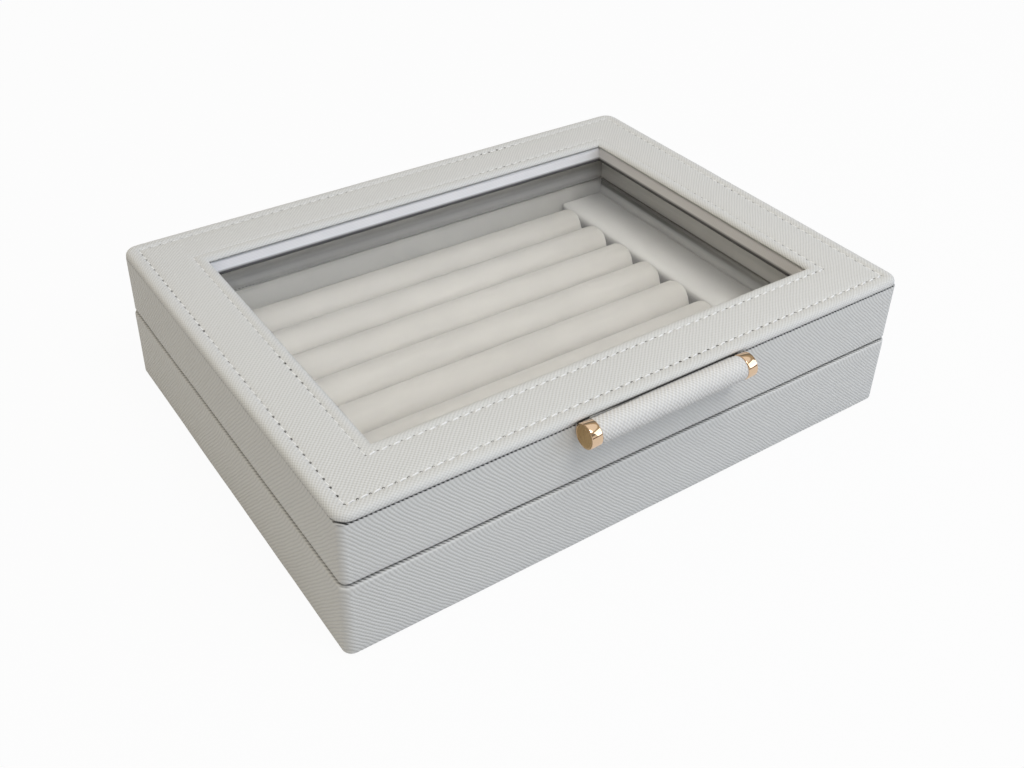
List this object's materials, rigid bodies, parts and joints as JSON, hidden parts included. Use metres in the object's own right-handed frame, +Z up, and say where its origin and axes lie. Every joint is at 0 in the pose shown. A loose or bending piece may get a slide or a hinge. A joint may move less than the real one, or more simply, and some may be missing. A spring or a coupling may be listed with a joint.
{
  "type": "ring display box",
  "caption": "Low rectangular leather-covered case with a hinged, glazed lid, a front pull tab and a bed of parallel velvet ring rolls.",
  "frame": {"origin": "centre of the underside, on the surface that the box stands on", "axes": "+X to the right along the front, -Y to the front where the pull tab is, +Z up"},
  "size_m": [0.25, 0.1998, 0.0608],
  "materials": {
    "leather": "cross-grain embossed, semi-matt",
    "roll_velvet": "short-pile velvet",
    "lining_velvet": "short-pile velvet on card",
    "foam": "foam, hidden",
    "board": "raw fibreboard, hidden",
    "underside_paper": "thin felt sheet",
    "glass": "clear, polished",
    "rose_gold": "polished plating",
    "hinge_brass": "polished plating",
    "rod_steel": "bare, hidden"
  },
  "bodies": {
    "base": {"base_bottom_board": "board", "base_front_board": "board", "base_back_board": "board", "base_left_board": "board", "base_right_board": "board", "base_leather": "leather", "base_underside_cover": "underside_paper", "base_floor_lining": "lining_velvet", "base_front_lining": "lining_velvet", "base_back_lining": "lining_velvet", "base_left_lining": "lining_velvet", "base_right_lining": "lining_velvet", "ring_roll_velvet_1": "roll_velvet", "ring_roll_velvet_2": "roll_velvet", "ring_roll_velvet_3": "roll_velvet", "ring_roll_velvet_4": "roll_velvet", "ring_roll_velvet_5": "roll_velvet", "ring_roll_velvet_6": "roll_velvet", "ring_roll_velvet_7": "roll_velvet", "ring_roll_velvet_8": "roll_velvet", "ring_roll_foam_1": "foam", "ring_roll_foam_2": "foam", "ring_roll_foam_3": "foam", "ring_roll_foam_4": "foam", "ring_roll_foam_5": "foam", "ring_roll_foam_6": "foam", "ring_roll_foam_7": "foam", "ring_roll_foam_8": "foam", "left_end_strip_velvet": "lining_velvet", "right_end_strip_velvet": "lining_velvet", "left_end_strip_core": "foam", "right_end_strip_core": "foam", "hinge_left_base_leaf": "hinge_brass", "hinge_right_base_leaf": "hinge_brass", "hinge_pins": "hinge_brass", "hinge_base_screws": "hinge_brass"},
    "lid": {"lid_front_board": "board", "lid_back_board": "board", "lid_left_board": "board", "lid_right_board": "board", "lid_leather": "leather", "top_frame_board": "board", "top_frame_leather": "leather", "inner_frame_board": "board", "inner_frame_leather": "leather", "glass_pane": "glass", "lid_front_lining": "lining_velvet", "lid_back_lining": "lining_velvet", "lid_left_lining": "lining_velvet", "lid_right_lining": "lining_velvet", "pull_tab_anchor": "leather", "hinge_left_lid_leaf": "hinge_brass", "hinge_right_lid_leaf": "hinge_brass", "hinge_lid_screws": "hinge_brass"},
    "pull_tab": {"pull_tab_leather": "leather", "pull_tab_rod": "rod_steel", "pull_tab_cap_left": "rose_gold", "pull_tab_cap_right": "rose_gold"}
  },
  "joints": [
    {"name": "lid_hinge", "type": "hinge", "parent": "base", "child": "lid", "pos_m": [0, 0.0952, 0.0313], "axis": [-1, 0, 0], "range_deg": [0, 95]},
    {"name": "tab_flex", "type": "hinge", "parent": "lid", "child": "pull_tab", "pos_m": [0, -0.0931, 0.0565], "axis": [-1, 0, 0], "range_deg": [-20, 15], "stiffness_Nm_per_rad": 0.08}
  ]
}
